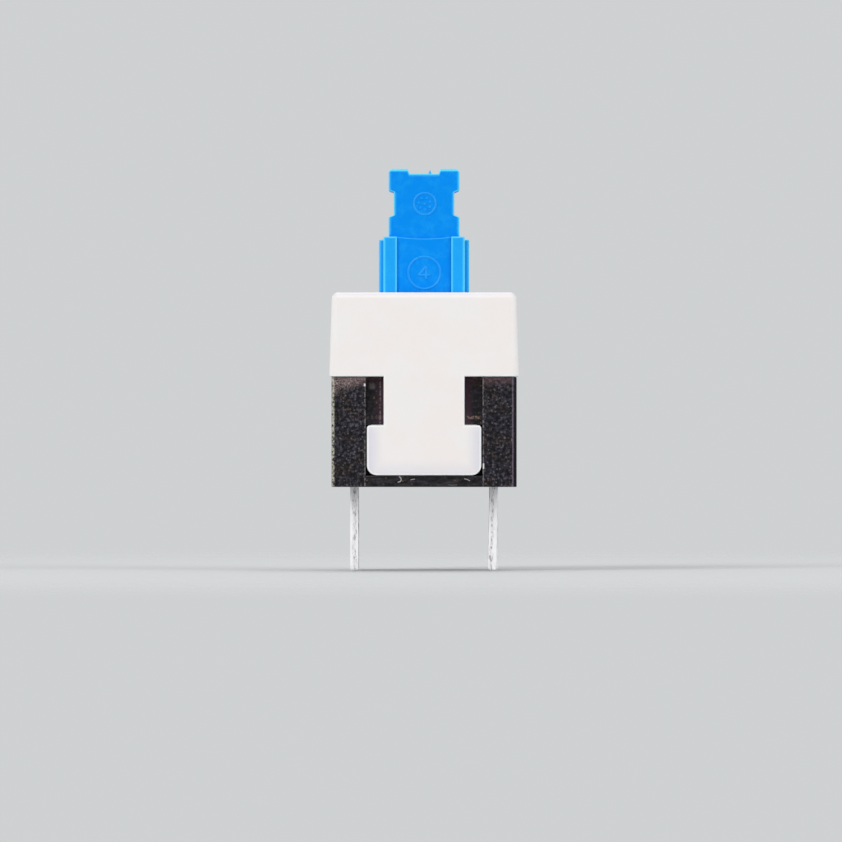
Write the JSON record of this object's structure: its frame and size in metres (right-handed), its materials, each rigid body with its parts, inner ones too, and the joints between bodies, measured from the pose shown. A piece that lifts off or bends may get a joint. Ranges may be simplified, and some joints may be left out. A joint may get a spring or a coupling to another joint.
{
  "type": "latching push button switch",
  "caption": "Small square through-hole push button switch that latches down when pressed and releases at the next press, with a notched key that takes a push-on button.",
  "frame": {"origin": "middle of the seating plane, the underside of the base that sits on the circuit board", "axes": "+Z along the plunger, up from the board; +X across the two rows of pins; -Y is the front, with the lock pin behind its tongue"},
  "size_m": [0.008, 0.008, 0.0171],
  "materials": {
    "white_cap": "moulded nylon, satin gloss",
    "black_base": "moulded polyester with a spark-eroded grain",
    "blue_plunger": "moulded acetal, satin gloss",
    "terminal_silver": "silver plated, with sheared edges",
    "contact_bronze": "thin bright sheet, silver flashed",
    "spring_steel": "drawn wire",
    "pin_steel": "drawn and nickel plated wire"
  },
  "bodies": {
    "housing": {"base": "black_base", "cap": "white_cap", "return_spring": "spring_steel", "terminal_left_nc": "terminal_silver", "terminal_left_com": "terminal_silver", "terminal_left_no": "terminal_silver", "terminal_right_nc": "terminal_silver", "terminal_right_com": "terminal_silver", "terminal_right_no": "terminal_silver"},
    "plunger": {"plunger": "blue_plunger", "contact_left": "contact_bronze", "contact_right": "contact_bronze"},
    "lock_pin": {"lock_pin": "pin_steel"}
  },
  "joints": [
    {"name": "plunger_slide", "type": "slide", "parent": "housing", "child": "plunger", "axis": [0, 0, -1], "range_m": [0, 0.0022], "stiffness_N_per_m": 20, "springref_m": -0.0004, "deforming": ["return_spring"]},
    {"name": "lock_pin_swing", "type": "hinge", "parent": "housing", "child": "lock_pin", "pos_m": [0, -0.00303, 0.00085], "axis": [0, -1, 0], "range_deg": [0, 18.52]}
  ],
  "couplings": [
    {"joint": "lock_pin_swing", "follows": "plunger_slide", "rad_per_m": 146.84}
  ]
}
